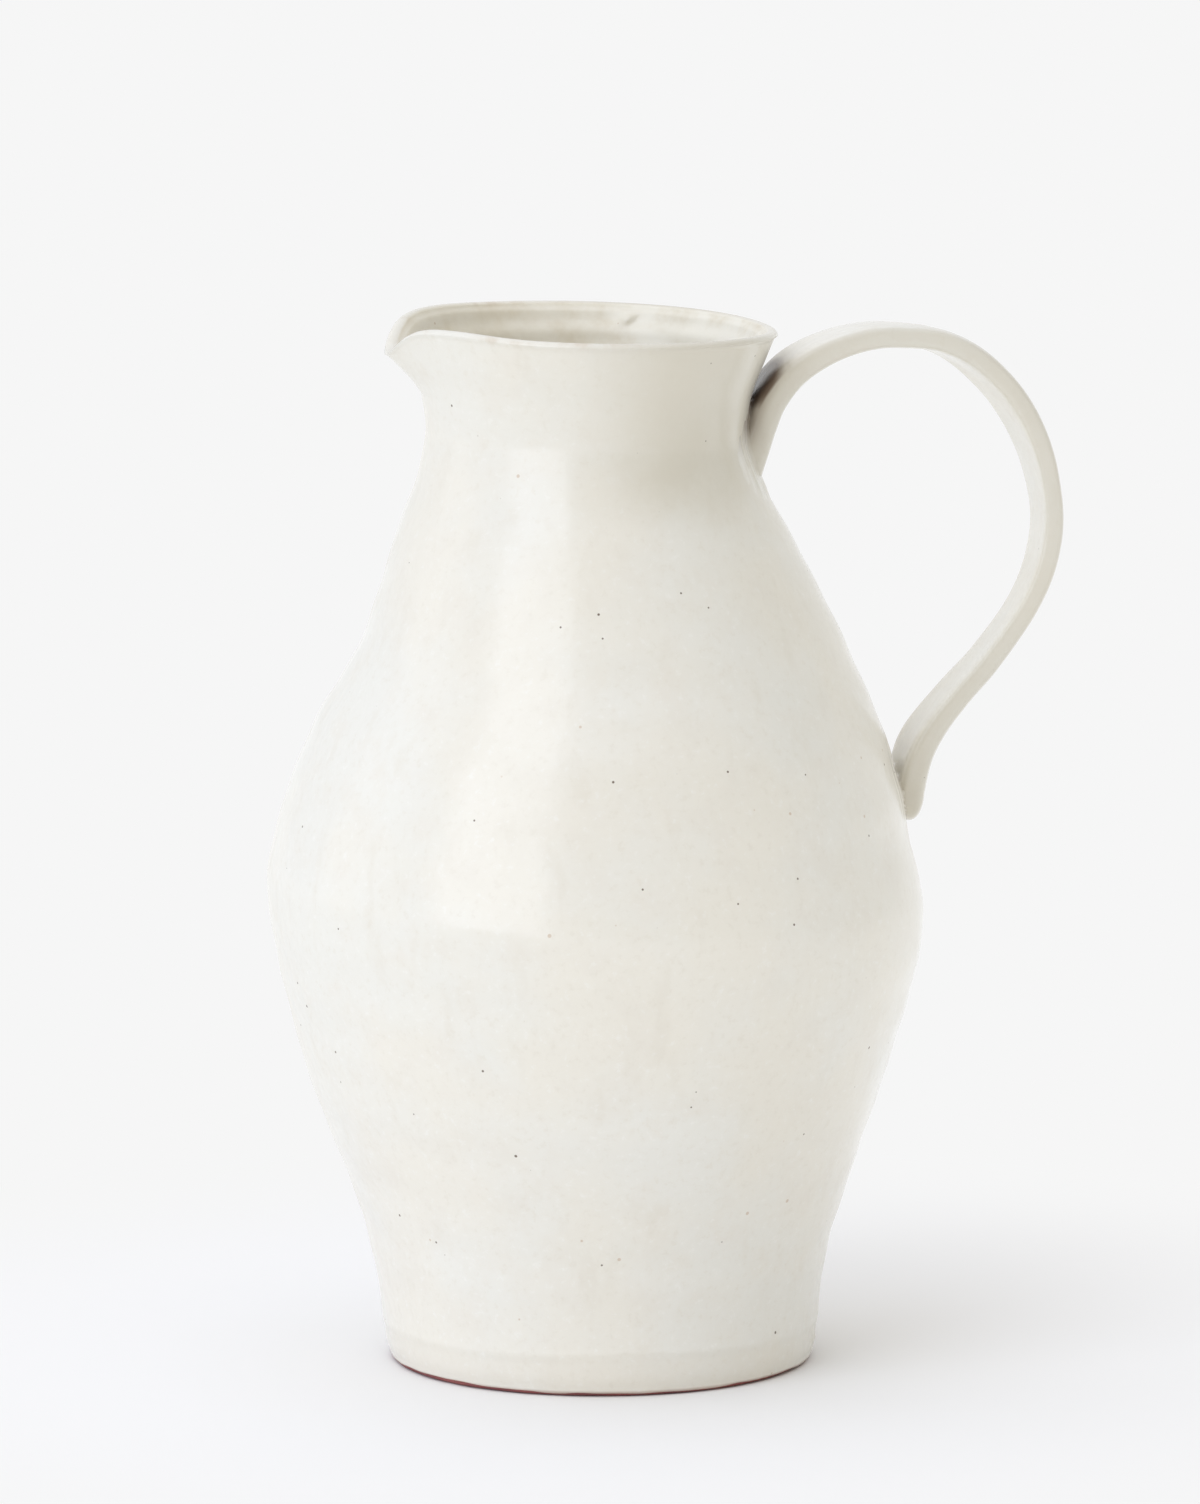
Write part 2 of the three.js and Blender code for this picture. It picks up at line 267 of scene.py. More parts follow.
def bell(distance, spread):
    return np.exp(-(np.asarray(distance, float) / spread) ** 2)


def whole_turn(sides):
    """Angles of evenly spaced points once round."""
    return np.linspace(0, 2 * math.pi, sides, endpoint=False)


def mesh_object(name, points, faces, material):
    """A smooth-shaded mesh from points in millimetres."""
    mesh = bpy.data.meshes.new(name)
    mesh.from_pydata((np.asarray(points) * MM).tolist(), [], faces)
    mesh.validate()
    mesh.polygons.foreach_set("use_smooth", [True] * len(mesh.polygons))
    mesh.materials.append(material)
    piece = bpy.data.objects.new(name, mesh)
    scene.collection.objects.link(piece)
    return piece


def grid_faces(rows, around):
    """Quads between rows of points that each go once round."""
    faces = []
    for row in range(rows - 1):
        for side in range(around):
            after = (side + 1) % around
            faces.append((row * around + side, row * around + after,
                          (row + 1) * around + after, (row + 1) * around + side))
    return faces


# ---------------------------------------------------------------------------
# The thrown vessel

def ring_tilt(height):
    """How far the ring at this height is off level: level at the foot, most at the belly."""
    lower = BELLY_TILT * smoothstep(0, BELLY_HEIGHT, height)
    upper = np.clip((height - BELLY_HEIGHT) / (RIM_HEIGHT - BELLY_HEIGHT), 0, 1)
    return np.where(height < BELLY_HEIGHT, lower, BELLY_TILT + (RIM_TILT - BELLY_TILT) * upper)


def formed(radius, angle, height):
    """Leans, tilts and pulls points of the round thrown form into their final places."""
    from_handle = np.abs(np.degrees(np.arctan2(np.sin(angle), np.cos(angle))))
    turned = angle + math.radians(LIP_ASIDE)
    from_lip = 180 - np.abs(np.degrees(np.arctan2(np.sin(turned), np.cos(turned))))
    near_rim = np.clip((height - LIP_START) / (RIM_HEIGHT - LIP_START), 0, 1)
    side = bell(from_lip - LIP_SIDE_ANGLE, LIP_SIDE_SPREAD)
    pulled = (radius + LIP_PULL * bell(from_lip, LIP_PULL_ANGLE) * near_rim**0.6
              - LIP_PINCH * side * near_rim)
    rise = (LIP_SHOULDER * side * near_rim
            - LIP_DIP * bell(from_lip, LIP_DIP_ANGLE) * near_rim**1.2
            - HANDLE_SIDE_DROP * bell(from_handle, HANDLE_SIDE_ANGLE) * near_rim)
    across = pulled * np.cos(angle)
    depth = pulled * np.sin(angle)
    tilted = height - ring_tilt(height) * across - RIM_SIDE_TILT * near_rim * depth
    lean = smooth_through(RING_HEIGHTS, RING_LEANS, height)
    return np.stack([across + lean, depth, tilted + rise], axis=-1)


def hand_waver(angle, height):
    """Slow unevenness of a wall squeezed between two hands."""
    return sum(size * np.sin(waves * angle + height / turn + phase)
               for size, waves, turn, phase in HAND_WAVES)


def outside_rings(angle, height):
    """Faint throwing rings that still show through the glaze."""
    spiral = height + 4 * angle / (2 * math.pi)
    rings = sum(size * np.sin(spiral / length + phase) for size, length, phase in RING_OUTSIDE)
    return rings * smoothstep(12, 30, height) * (1 - smoothstep(240, 256, height))


def inside_rings(angle, height):
    """Finger ridges on the inside wall, stronger than outside."""
    spiral = height + 6 * angle / (2 * math.pi)
    ridges = 0.28 * np.sin(spiral * 2 * math.pi / 6.4) + 0.12 * np.sin(spiral / 2.3 + 0.5)
    above_floor = smoothstep(FLOOR_EDGE, FLOOR_EDGE + 15, height)
    below_rim = 1 - smoothstep(254, 259, height)
    return ridges * above_floor * below_rim


def close_ends(faces, rows, around):
    """Closes both ends of a tube of rows."""
    faces.append(tuple(range(around))[::-1])
    last = (rows - 1) * around
    faces.append(tuple(range(last, last + around)))
    return faces


def make_vessel(material):
    around = VESSEL_SIDES
    angle = whole_turn(around)
    rows = []

    def ring(radius, height):
        rows.append(formed(radius, angle, np.broadcast_to(height, around).astype(float)))

    # underneath, then round the glazed edge of the foot
    base_radius = RING_RADII[0]
    glaze_edge = (0.10 * np.sin(7 * angle + 1) + 0.07 * np.sin(17 * angle)
                  + 0.04 * np.sin(31 * angle + 2))
    for inward, up in [(4.4, 1.3), (3.0, 0.5), (2.2, 0.0), (1.75, 0.12), (1.3, 0.55), (1.0, 1.1)]:
        uneven = glaze_edge if up < 0.6 else 0
        ring(base_radius - inward, GLAZE_FOOT + up + uneven)

    # outside wall
    foot_heights = np.arange(2.1, 14, 0.45)
    wall_heights = np.arange(14, 240, 1.25)
    lip_heights = np.arange(240, 258.4, 0.7)
    for height in np.concatenate([foot_heights, wall_heights, lip_heights]):
        radius = smooth_through(RING_HEIGHTS, RING_RADII, height)
        wavy = height + 0.5 * np.sin(angle * 2 + 1) + 0.25 * np.sin(angle * 5)
        band = BAND_STEP * (1 - smoothstep(BAND_TOP - 1.6, BAND_TOP + 1.0, wavy))
        bead = BAND_BEAD * (0.6 + 0.4 * np.sin(angle * 2 - 1.2)) * bell(wavy - BAND_TOP - 1.0, 1.1)
        round_under = BASE_ROUNDING * max(0.0, (BASE_ROUND_TOP - height) / BASE_ROUND_TOP) ** 2.2
        waver = hand_waver(angle, height) * smoothstep(4, 30, height)
        ring(radius - band - round_under + bead + waver + outside_rings(angle, height), height)

    # round the lip
    rim_wall = WALLS[-1]
    rim_middle = RING_RADII[-1] - rim_wall / 2
    for degrees in range(10, 180, 20):
        turn = math.radians(degrees)
        out = rim_middle + rim_wall / 2 * math.cos(turn)
        up = RIM_HEIGHT - RIM_ROUNDING + RIM_ROUNDING * math.sin(turn)
        ring(out + hand_waver(angle, RIM_HEIGHT), up)

    # inside wall, then the inside corner and the floor
    neck_heights = np.arange(258.4, 225, -0.8)
    belly_heights = np.arange(225, FLOOR_EDGE, -1.6)
    for height in np.concatenate([neck_heights, belly_heights]):
        radius = smooth_through(RING_HEIGHTS, RING_RADII, height)
        wall = smooth_through(WALL_HEIGHTS, WALLS, height)
        waver = hand_waver(angle, height)
        ring(radius - wall + waver + inside_rings(angle, height), height)
    corner = FLOOR_EDGE - FLOOR_TOP
    edge_radius = float(smooth_through(RING_HEIGHTS, RING_RADII, FLOOR_EDGE))
    corner_middle = edge_radius - WALLS[0] - corner
    for degrees in range(0, 91, 9):
        turn = math.radians(degrees)
        ring(corner_middle + corner * math.cos(turn), FLOOR_EDGE - corner * math.sin(turn))
    for part in np.linspace(0.93, 0.04, 26):
        radius = corner_middle * part
        swirl = FLOOR_SWIRL * np.sin(radius / 1.9 + angle)
        ring(radius, FLOOR_TOP + swirl * (1 - part))

    points = add_lumps(np.concatenate(rows))
    faces = close_ends(grid_faces(len(rows), around), len(rows), around)
    return mesh_object("thrown_vessel", points, faces, material)


def add_lumps(points):
    """Raises a small drip of glaze inside the far rim, and a nub of clay on the foot."""
    for place, long_way, length, width, push in (DRIP_IN_RIM, NUB_ON_FOOT):
        offset = points - np.array(place)
        long_way = np.array(long_way) / np.linalg.norm(long_way)
        along = offset @ long_way
        aside = np.linalg.norm(offset - along[:, None] * long_way, axis=1)
        strength = bell(along, length) * bell(aside, width)
        points = points + strength[:, None] * np.array(push)
    return points


# ---------------------------------------------------------------------------
# The pulled strap handle

def strap_frames(count):
    """Middle points and forward directions along the strap, evenly spaced."""
    path = np.array(STRAP_PATH, float)
    chords = np.linalg.norm(np.diff(path, axis=0), axis=1)
    knots = np.concatenate([[0], np.cumsum(np.sqrt(chords))])
    fine = np.linspace(0, knots[-1], 2400)
    curve = np.stack([smooth_through(knots, path[:, 0], fine),
                      smooth_through(knots, path[:, 1], fine)], axis=1)
    length = np.concatenate([[0], np.cumsum(np.linalg.norm(np.diff(curve, axis=0), axis=1))])
    along = np.linspace(0, 1, count)
    middle = np.stack([np.interp(along * length[-1], length, curve[:, k]) for k in (0, 1)], axis=1)
    forward = np.gradient(middle, axis=0)
    forward /= np.linalg.norm(forward, axis=1)[:, None]
    return along, middle, forward


def rounded(value, power):
    """Keeps the sign of a value and raises its size to a power."""
    return np.sign(value) * np.abs(value) ** power


def strap_section(sides):
    """A flat rounded section one unit each way, its points evenly spaced on a real strap."""
    turn = np.linspace(0, 2 * math.pi, 2881)
    inner = np.sin(turn) < 0
    across = np.where(inner, STRAP_INNER_ACROSS, STRAP_ROUND_ACROSS)
    through = np.where(inner, STRAP_INNER_THROUGH, STRAP_ROUND_THROUGH)
    wide = rounded(np.cos(turn), across) / 2
    thick = rounded(np.sin(turn), through) / 2
    steps = np.hypot(np.diff(wide) * STRAP_WIDTHS[MIDDLE_ENTRY],
                     np.diff(thick) * STRAP_THICKS[MIDDLE_ENTRY])
    length = np.concatenate([[0], np.cumsum(steps)])
    at = np.linspace(0, length[-1], sides, endpoint=False)
    return np.interp(at, length, wide), np.interp(at, length, thick)


def strap_points(count, sides):
    """Rows of points round the strap, with two finger grooves along its outer face."""
    along, middle, forward = strap_frames(count)
    turn = whole_turn(sides)
    wide, thick = strap_section(sides)
    outer = thick > 0
    rows = []
    for part, (x, z), (fx, fz) in zip(along, middle, forward):
        width = float(smooth_through(STRAP_ALONG, STRAP_WIDTHS, part))
        depth = float(smooth_through(STRAP_ALONG, STRAP_THICKS, part))
        twist = math.radians(float(smooth_through(STRAP_ALONG, STRAP_TWISTS, part)))
        grooves = -sum(deep * bell(wide - at, spread) for deep, at, spread in STRAP_GROOVES)
        groove = np.where(outer, grooves, 0.0) * float(smoothstep(0.15, 0.30, part))
        waver = 0.10 * np.sin(part * 43 + 2 * turn) + 0.08 * np.sin(part * 71 + turn * 3 + 1)
        w = wide * (width + waver)
        t = thick * (depth + waver) + groove
        across = w * math.cos(twist) + t * math.sin(twist)
        through = t * math.cos(twist) - w * math.sin(twist)
        rows.append(np.stack([x - fz * through, across, z + fx * through], axis=1))
    return rows


def make_strap(material):
    rows = strap_points(STRAP_RINGS, STRAP_SIDES)
    # round off the tail with shrinking rings
    rows = rows[:round(len(rows) * TAIL_START)]
    last = rows[-1]
    centre = last.mean(axis=0)
    for degrees in range(6, 91, 7):
        turn = math.radians(degrees)
        push = np.array([TAIL_LEAN, 0.0, -1.0]) * TAIL_LENGTH * math.sin(turn)
        rows.append(centre + (last - centre) * math.cos(turn) ** 0.8 + push)
    faces = close_ends(grid_faces(len(rows), STRAP_SIDES), len(rows), STRAP_SIDES)
    return mesh_object("pulled_strap", np.concatenate(rows), faces, material)


# ---------------------------------------------------------------------------
# Clay pressed round the ends of the strap

def surface_net(values, low, step):
    """Points and quads of the closed surface where a grid of values crosses zero."""
    cells = tuple(n - 1 for n in values.shape)
    corners = [(i, j, k) for i in (0, 1) for j in (0, 1) for k in (0, 1)]
    total = np.zeros(cells + (3,))
    count = np.zeros(cells)

    def corner_values(corner):
        i, j, k = corner
        return values[i:i + cells[0], j:j + cells[1], k:k + cells[2]]

    # a point in each cell that the surface crosses, at the middle of its crossings
    for one in corners:
        for axis in range(3):
            if one[axis]:
                continue
            other = tuple(c + (n == axis) for n, c in enumerate(one))
            first = corner_values(one)
            second = corner_values(other)
            crossed = (first < 0) != (second < 0)
            share = np.where(crossed, first / np.where(crossed, first - second, 1), 0)
            point = np.broadcast_to(np.array(one, float), cells + (3,)).copy()
            point[..., axis] += share
            total += point * crossed[..., None]
            count += crossed
    used = count > 0
    index = -np.ones(cells, int)
    index[used] = np.arange(used.sum())
    places = np.stack(np.nonzero(used), axis=1) + total[used] / count[used][:, None]
    # a quad round each grid edge that the surface crosses
    faces = []
    for axis in range(3):
        b, c = (axis + 1) % 3, (axis + 2) % 3
        now = np.take(values, range(values.shape[axis] - 1), axis)
        after = np.take(values, range(1, values.shape[axis]), axis)
        for place in np.argwhere((now < 0) != (after < 0)):
            if any(place[side] == 0 or place[side] > cells[side] - 1 for side in (b, c)):
                continue
            quad = []
            for db, dc in ((-1, -1), (0, -1), (0, 0), (-1, 0)):
                at = place.copy()
                at[b] += db
                at[c] += dc
                quad.append(int(index[tuple(at)]))
            faces.append(quad if now[tuple(place)] < 0 else quad[::-1])
    return np.array(low) + places * step, faces


def signed_distances(tree, points):
    """Distance of each point to a surface, below zero behind its faces. Millimetres."""
    out = np.empty(len(points))
    for n, point in enumerate(points):
        place = Vector(point * MM)
        near, normal, _, distance = tree.find_nearest(place)
        out[n] = distance if (place - near).dot(normal) > 0 else -distance
    return out / MM


def strap_side(points):
    """True for points inside the strap, by its own section."""
    along, middle, forward = strap_frames(STRAP_STEPS)
    out = np.zeros(len(points), bool)
    for start in range(0, len(points), BATCH):
        some = points[start:start + BATCH]
        away = some[:, None, [0, 2]] - middle[None]
        near = (away ** 2).sum(axis=2).argmin(axis=1)
        offset = away[np.arange(len(some)), near]
        run = (offset * forward[near]).sum(axis=1)
        through = offset[:, 1] * forward[near, 0] - offset[:, 0] * forward[near, 1]
        width = smooth_through(STRAP_ALONG, STRAP_WIDTHS, along[near])
        depth = smooth_through(STRAP_ALONG, STRAP_THICKS, along[near])
        filled = (np.abs(2 * some[:, 1] / width) ** (2 / STRAP_ROUND_ACROSS)
                  + np.abs(2 * through / depth) ** (2 / STRAP_ROUND_THROUGH))
        before_tail = near < TAIL_START * len(along)
        out[start:start + BATCH] = (filled < 1) & (np.abs(run) < STRAP_END) & before_tail
    return out


def tree_of(piece, keep):
    """A search tree of the faces of a piece whose middle passes the test."""
    mesh = piece.data
    corners = [vertex.co for vertex in mesh.vertices]
    faces = [tuple(face.vertices) for face in mesh.polygons
             if keep(face.center / MM, face.normal)]
    return BVHTree.FromPolygons(corners, faces)


def beside_strap(middle, normal):
    """True for the vessel's outside faces near the handle."""
    lowest, highest, nearest = WALL_BY_STRAP
    outward = Vector((middle.x + 3, middle.y, 0))    # from near the neck's middle
    return normal.dot(outward) > 0 and lowest < middle.z < highest and middle.x > nearest


def smooth_union(one, other, blend):
    """Joins two shapes given by distances, with a fillet."""
    near = np.maximum(blend - np.abs(one - other), 0) / blend
    return np.minimum(one, other) - near**3 * blend / 6


def make_joint(name, wall_tree, strap_tree, low, high, centre, reach, blend, smear, material):
    """A fillet of clay between the strap and the wall, with finger strokes beside it."""
    axes = [np.arange(start, end, JOINT_STEP) for start, end in zip(low, high)]
    grid = np.stack(np.meshgrid(*axes, indexing="ij"), axis=-1)
    flat = grid.reshape(-1, 3)
    window = np.sqrt((((flat - np.array(centre)) / np.array(reach)) ** 2).sum(axis=1))
    near = window < JOINT_MARGIN
    wall = np.full(len(flat), FAR)
    strap = np.full(len(flat), FAR)
    wall[near] = signed_distances(wall_tree, flat[near])
    strap[near] = np.abs(signed_distances(strap_tree, flat[near]))
    strap[near] *= np.where(strap_side(flat[near]), -1, 1)
    angle = np.degrees(np.arctan2(flat[:, 1], flat[:, 0] - NECK_AXIS))
    strokes = 0.5 + 0.3 * np.sin(angle * 1.3 + flat[:, 2] * 0.05) + 0.2 * np.sin(angle * 0.6 + 1)
    raised = smear * strokes * (1 - smoothstep(0.62, 1.0, window))
    joined = smooth_union(wall - raised, strap, blend) + JOINT_LIFT
    shell = np.maximum(joined, -JOINT_DEPTH - wall)
    region = (window - 1) * min(reach)
    values = np.maximum(shell, region).reshape(grid.shape[:3])
    points, faces = surface_net(values, low, JOINT_STEP)
    return mesh_object(name, points, faces, material)


# ---------------------------------------------------------------------------
# The bare clay foot

def make_foot(material):
    around = FOOT_SIDES
    angle = whole_turn(around)
    radius = FOOT_RADIUS + 0.12 * np.sin(5 * angle + 1) + 0.06 * np.sin(23 * angle)
    rows = []

    def ring(part, height):
        far = radius * part
        level = np.zeros(around) + height
        rows.append(np.stack([far * np.cos(angle), far * np.sin(angle), level], axis=1))

    side = [(0.90, 1.9), (0.972, 1.9), (0.992, 1.4), (0.998, 0.8), (0.992, 0.25), (0.984, 0.0)]
    for part, height in side:
        ring(part, height)
    # underneath: a flat bearing edge, then the shallow arcs that the cutting wire left
    for part in np.linspace(0.93, 0.03, 70):
        x = radius * part * np.cos(angle) - FOOT_ARC_CENTRE[0]
        y = radius * part * np.sin(angle) - FOOT_ARC_CENTRE[1]
        arcs = 0.5 + 0.5 * np.sin(np.hypot(x, y) / FOOT_ARC_LENGTH)
        hollow = FOOT_HOLLOW * (1 - part**2)
        ring(part, hollow + FOOT_ARC * arcs * smoothstep(0, 0.06, 0.93 - part))
    faces = close_ends(grid_faces(len(rows), around), len(rows), around)
    outwards = [face[::-1] for face in faces]
    return mesh_object("clay_foot", np.concatenate(rows), outwards, material)


# ---------------------------------------------------------------------------
# Materials

class Nodes:
    """Short ways to add and join the nodes of one material or world."""

    def __init__(self, tree):
        self.tree = tree
        tree.nodes.clear()

    def add(self, kind, **settings):
        node = self.tree.nodes.new("ShaderNode" + kind)
        for name, value in settings.items():
            setattr(node, name, value)
        return node

    def link(self, source, target):
        self.tree.links.new(source, target)

    def feed(self, sockets, values):
        """Links each value that is another node's output, and writes down each other one."""
        for socket, value in zip(sockets, values):
            if isinstance(value, bpy.types.NodeSocket):
                self.link(value, socket)
            else:
                socket.default_value = value

    def math(self, operation, *values):
        node = self.add("Math", operation=operation)
        self.feed(node.inputs, values)
        return node.outputs[0]

    def product(self, *values):
        total = values[0]
        for value in values[1:]:
            total = self.math("MULTIPLY", total, value)
        return total

    def vector(self, operation, *values):
        node = self.add("VectorMath", operation=operation)
        self.feed(node.inputs, values)
        gives_number = operation in ("DOT_PRODUCT", "LENGTH", "DISTANCE")
        return node.outputs["Value" if gives_number else "Vector"]

    def scaled(self, value, factor):
        node = self.add("VectorMath", operation="SCALE")
        self.feed((node.inputs[0], node.inputs["Scale"]), (value, factor))
        return node.outputs["Vector"]

    def noise(self, place, scale, detail=2.0, roughness=0.5):
        node = self.add("TexNoise")
        node.inputs["Scale"].default_value = scale
        node.inputs["Detail"].default_value = detail
        node.inputs["Roughness"].default_value = roughness
        self.link(place, node.inputs["Vector"])
        return node.outputs["Fac"]

    def spread(self, value, low, high, to_low=0.0, to_high=1.0):
        """Turns low...high smoothly into to_low...to_high."""
        node = self.add("MapRange", interpolation_type="SMOOTHSTEP")
        self.link(value, node.inputs["Value"])
        sockets = [node.inputs[name] for name in ("From Min", "From Max", "To Min", "To Max")]
        self.feed(sockets, (low, high, to_low, to_high))
        return node.outputs["Result"]

    def between(self, value, start, full, still, gone):
        """1 from full to still, fading to 0 at start and at gone."""
        return self.product(self.spread(value, start, full), self.spread(value, gone, still))

    def mix(self, amount, first, second):
        node = self.add("Mix", data_type="RGBA")
        colours = [(*tone, 1.0) if isinstance(tone, tuple) else tone for tone in (first, second)]
        self.feed((node.inputs["Factor"], node.inputs[6], node.inputs[7]), (amount, *colours))
        return node.outputs[2]

    def bump(self, height, strength, distance):
        node = self.add("Bump")
        node.inputs["Strength"].default_value = strength
        node.inputs["Distance"].default_value = distance
        self.link(height, node.inputs["Height"])
        return node.outputs[0]

    def principled(self):
        shader = self.add("BsdfPrincipled")
        output = self.add("OutputMaterial")
        self.link(shader.outputs[0], output.inputs["Surface"])
        return shader


def new_material(name):
    material = bpy.data.materials.new(name)
    material.use_nodes = True
    return material, Nodes(material.node_tree)


def specks(nodes, place, cell_mm, radius_mm, shift):
    """Sparse round spots: 1 inside a spot, 0 outside, with uneven sizes."""
    cells = nodes.add("TexVoronoi", feature="F1")
    cells.inputs["Scale"].default_value = 1000 / cell_mm
    moved = nodes.vector("ADD", place, (shift, shift * 0.7, shift * 1.3))
    nodes.link(moved, cells.inputs["Vector"])
    pick = nodes.add("SeparateColor")
    nodes.link(cells.outputs["Color"], pick.inputs[0])
    radius = radius_mm / cell_mm
    size = nodes.math("MULTIPLY_ADD", pick.outputs[0], radius, 0.35 * radius)
    inside = nodes.math("SUBTRACT", size, cells.outputs["Distance"])
    return nodes.spread(inside, -0.15 * radius, 0.3 * radius)


def mottled_glaze(nodes, place, flow):
    """The glaze's own uneven colour: clouds, thin flows, upright runs and a fine mottle."""
    clouds = nodes.noise(place, 24, 4.0)
    runs = nodes.noise(nodes.vector("MULTIPLY", place, (1, 1, 0.3)), 150, 3.0)
    mottle = nodes.noise(place, 480, 4.0, 0.65)
    colour = nodes.mix(nodes.spread(clouds, 0.36, 0.66), GLAZE_WARM, GLAZE_COOL)
    colour = nodes.mix(nodes.spread(flow, 0.46, 0.72, 0, 0.55), colour, GLAZE_THIN)
    colour = nodes.mix(nodes.spread(runs, 0.55, 0.80, 0, 0.35), colour, GLAZE_DARK)
    colour = nodes.mix(nodes.spread(mottle, 0.52, 0.74, 0, 0.42), colour, GLAZE_DARK)
    return nodes.mix(nodes.spread(mottle, 0.45, 0.25, 0, 0.55), colour, GLAZE_PALE)


def vessel_tones_and_shade(nodes, colour, flow, place, normal):
    """Adds the thrown vessel's painted shade on the neck and under the collar, its foot band,
    painted light and shade inside, and its worn rim.
    """
    axes = nodes.add("SeparateXYZ")
    nodes.link(place, axes.inputs[0])
    across = axes.outputs["X"]
    height = axes.outputs["Z"]

    # painted shade at the neck's waist on the handle's side, uneven with the flow noise
    hollow = nodes.product(nodes.between(height, *NECK_SHADE_HEIGHTS),
                           nodes.between(across, *NECK_SHADE_ACROSS),
                           nodes.spread(flow, 0.30, 0.62, 0.30, 0.65))
    colour = nodes.mix(hollow, colour, GLAZE_PAINTED_SHADE)
    # painted shade under the flared collar, weaker towards the handle
    collar = nodes.product(nodes.spread(height, *COLLAR_SHADE_HEIGHTS),
                           nodes.spread(across, *COLLAR_SHADE_ACROSS, 0, 0.72),
                           nodes.spread(across, *COLLAR_SHADE_BY_HANDLE, 0.15, 1))
    colour = nodes.mix(collar, colour, GLAZE_PAINTED_SHADE)
    # painted shade darkening the glaze towards the neck
    colour = nodes.mix(nodes.spread(height, *UPWARD_SHADE_HEIGHTS, 0, 0.20), colour, GLAZE_PAINTED_SHADE)

    # the thin band at the foot, and the clay that shows through at its very edge
    uneven = nodes.math("ADD", height, nodes.math("MULTIPLY", flow, 0.003))
    band = nodes.spread(uneven, (BAND_TOP + 3.0) * MM, (BAND_TOP - 0.8) * MM, 0, 0.16)
    colour = nodes.mix(band, colour, GLAZE_FOOT_TONE)
    edge = nodes.spread(height, (GLAZE_FOOT + 1.1) * MM, (GLAZE_FOOT + 0.1) * MM, 0, 0.6)
    colour = nodes.mix(edge, colour, CLAY_THROUGH_GLAZE)

    # the inside is where the surface faces the pitcher's middle; it gets painted light and shade,
    # uneven with the flow noise and darker towards the lip
    outward = nodes.vector("NORMALIZE", nodes.vector("MULTIPLY", place, (1, 1, 0)))
    facing = nodes.vector("DOT_PRODUCT", outward, normal)
    tone = nodes.mix(nodes.spread(flow, 0.35, 0.70), INSIDE_PAINTED_LIGHT, INSIDE_PAINTED_SHADE)
    tone = nodes.mix(nodes.spread(across, *INSIDE_SHADE_ACROSS, 0, 0.5), tone, INSIDE_PAINTED_SHADE)
    colour = nodes.mix(nodes.spread(facing, -0.25, -0.75, 0, 0.75), colour, tone)

    worn = nodes.product(nodes.spread(height, *RIM_HEIGHTS),
                         nodes.spread(flow, 0.50, 0.68, 0.0, 0.5))
    return nodes.mix(worn, colour, RIM_TONE)


def painted_strap_shade(nodes, colour, normal):
    """Painted shade: the strap's narrow sides, whose faces turn sideways in Y, are darkened and
    browned.
    """
    turned = nodes.add("SeparateXYZ")
    nodes.link(normal, turned.inputs[0])
    sideways = nodes.math("ABSOLUTE", turned.outputs["Y"])
    return nodes.mix(nodes.spread(sideways, 0.35, 0.80, 0.10, 0.58), colour, STRAP_PAINTED_SHADE)


def painted_wedge_shade(nodes, place, normal, way):
    """Painted shade in the wedge between collar and strap, on the faces that turn into it."""
    offset = nodes.vector("SUBTRACT", place, WEDGE_SHADE_PLACE)
    depth = nodes.vector("LENGTH", nodes.vector("DIVIDE", offset, WEDGE_SHADE_REACH))
    into = nodes.vector("DOT_PRODUCT", normal, way)
    return nodes.product(nodes.spread(depth, 1.0, 0.6, 0, 0.92), nodes.spread(into, 0.35, 0.75))


def painted_crease_shade(nodes, place):
    """Painted shade: the strap darkens and browns where it comes close to the collar."""
    axes = nodes.add("SeparateXYZ")
    nodes.link(place, axes.inputs[0])
    height = axes.outputs["Z"]
    level = nodes.add("CombineXYZ")
    level.inputs["X"].default_value = RING_LEANS[-1] * MM
    nodes.link(height, level.inputs["Z"])
    from_axis = nodes.vector("DISTANCE", place, level.outputs[0])
    collar = nodes.spread(height, RING_HEIGHTS[NARROWEST] * MM, RIM_HEIGHT * MM,
                          RING_RADII[NARROWEST] * MM, RING_RADII[-1] * MM)
    clear = nodes.math("SUBTRACT", from_axis, collar)
    return nodes.product(nodes.spread(clear, *CREASE_SHADE_REACH, 0, 0.55),
                         nodes.between(height, *CREASE_SHADE_HEIGHTS))


